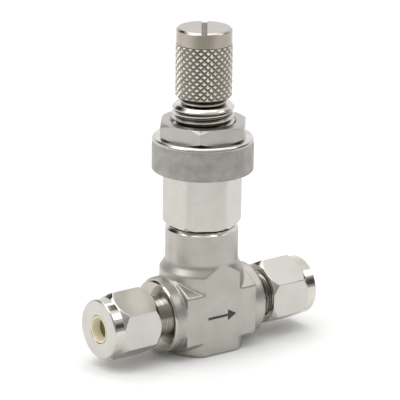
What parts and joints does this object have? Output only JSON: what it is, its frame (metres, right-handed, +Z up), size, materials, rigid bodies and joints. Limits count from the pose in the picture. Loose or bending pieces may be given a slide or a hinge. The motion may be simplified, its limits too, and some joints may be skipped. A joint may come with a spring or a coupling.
{
  "type": "needle valve",
  "caption": "Straight metering needle valve with twin-ferrule tube ports, a threaded panel-mount bonnet with ring and nut, and a slotted diamond-knurled handle.",
  "frame": {"origin": "centre of the foot that the forged body stands on, on the stem's axis", "axes": "+Z up along the stem towards the handle, +X along the tube run towards the right port, front flat towards -Y"},
  "size_m": [0.0578, 0.0234, 0.076],
  "materials": {
    "forged_steel": "forged 316 stainless, tumbled grey, machined bright at the port ends",
    "satin_steel": "bar-stock 316 stainless, fine satin with polished chamfers",
    "ring_steel": "turned 316 stainless, bead-blasted matt",
    "handle_steel": "turned stainless with a diamond knurl",
    "stem_steel": "ground 316 stainless",
    "ferrule_steel": "bright turned 316 stainless",
    "gasket_metal": "soft annealed stainless gasket",
    "seal_rubber": "black fluorocarbon rubber",
    "seal_ptfe": "white PTFE",
    "plug_plastic": "natural ivory polyethylene, thin-walled"
  },
  "bodies": {
    "body": {"valve_body": "forged_steel", "bonnet_gasket": "gasket_metal", "bonnet": "satin_steel"},
    "stem_seals": {"stem_o_ring": "seal_rubber", "lower_backup_ring": "seal_ptfe", "upper_backup_ring": "seal_ptfe"},
    "handle": {"stem": "stem_steel", "handle": "handle_steel", "handle_set_screw": "stem_steel"},
    "panel_ring": {"panel_ring": "ring_steel"},
    "panel_nut": {"panel_nut": "satin_steel"},
    "left_ferrules": {"left_front_ferrule": "ferrule_steel", "left_back_ferrule": "ferrule_steel"},
    "left_nut": {"left_tube_nut": "satin_steel"},
    "left_plug": {"left_port_plug": "plug_plastic"},
    "right_ferrules": {"right_front_ferrule": "ferrule_steel", "right_back_ferrule": "ferrule_steel"},
    "right_nut": {"right_tube_nut": "satin_steel"},
    "right_plug": {"right_port_plug": "plug_plastic"}
  },
  "joints": [
    {"name": "stem_lift", "type": "slide", "parent": "body", "child": "stem_seals", "axis": [0, 0, 1], "range_m": [0, 0.00635]},
    {"name": "handle_turn", "type": "hinge", "parent": "stem_seals", "child": "handle", "pos_m": [0, 0, 0.05875], "axis": [0, 0, 1], "range_deg": [0, 3600]},
    {"name": "panel_ring_lift", "type": "slide", "parent": "body", "child": "panel_ring", "axis": [0, 0, 1], "range_m": [0, 0.00423]},
    {"name": "panel_nut_turn", "type": "hinge", "parent": "panel_ring", "child": "panel_nut", "pos_m": [0, 0, 0.0507], "axis": [0, 0, 1], "range_deg": [0, 1080]},
    {"name": "left_ferrule_slide", "type": "slide", "parent": "body", "child": "left_ferrules", "axis": [-1, 0, 0], "range_m": [0, 0.00635]},
    {"name": "left_nut_turn", "type": "hinge", "parent": "left_ferrules", "child": "left_nut", "pos_m": [-0.02885, 0, 0.0093], "axis": [-1, 0, 0], "range_deg": [0, 1800]},
    {"name": "left_plug_pull", "type": "slide", "parent": "left_nut", "child": "left_plug", "axis": [-1, 0, 0], "range_m": [0, 0.06]},
    {"name": "right_ferrule_slide", "type": "slide", "parent": "body", "child": "right_ferrules", "axis": [1, 0, 0], "range_m": [0, 0.00635]},
    {"name": "right_nut_turn", "type": "hinge", "parent": "right_ferrules", "child": "right_nut", "pos_m": [0.02885, 0, 0.0093], "axis": [1, 0, 0], "range_deg": [0, 1800]},
    {"name": "right_plug_pull", "type": "slide", "parent": "right_nut", "child": "right_plug", "axis": [1, 0, 0], "range_m": [0, 0.06]}
  ],
  "couplings": [
    {"joint": "handle_turn", "follows": "stem_lift", "rad_per_m": 9894.8},
    {"joint": "panel_nut_turn", "follows": "panel_ring_lift", "rad_per_m": 4452.7},
    {"joint": "left_nut_turn", "follows": "left_ferrule_slide", "rad_per_m": 4947.4},
    {"joint": "right_nut_turn", "follows": "right_ferrule_slide", "rad_per_m": 4947.4}
  ]
}
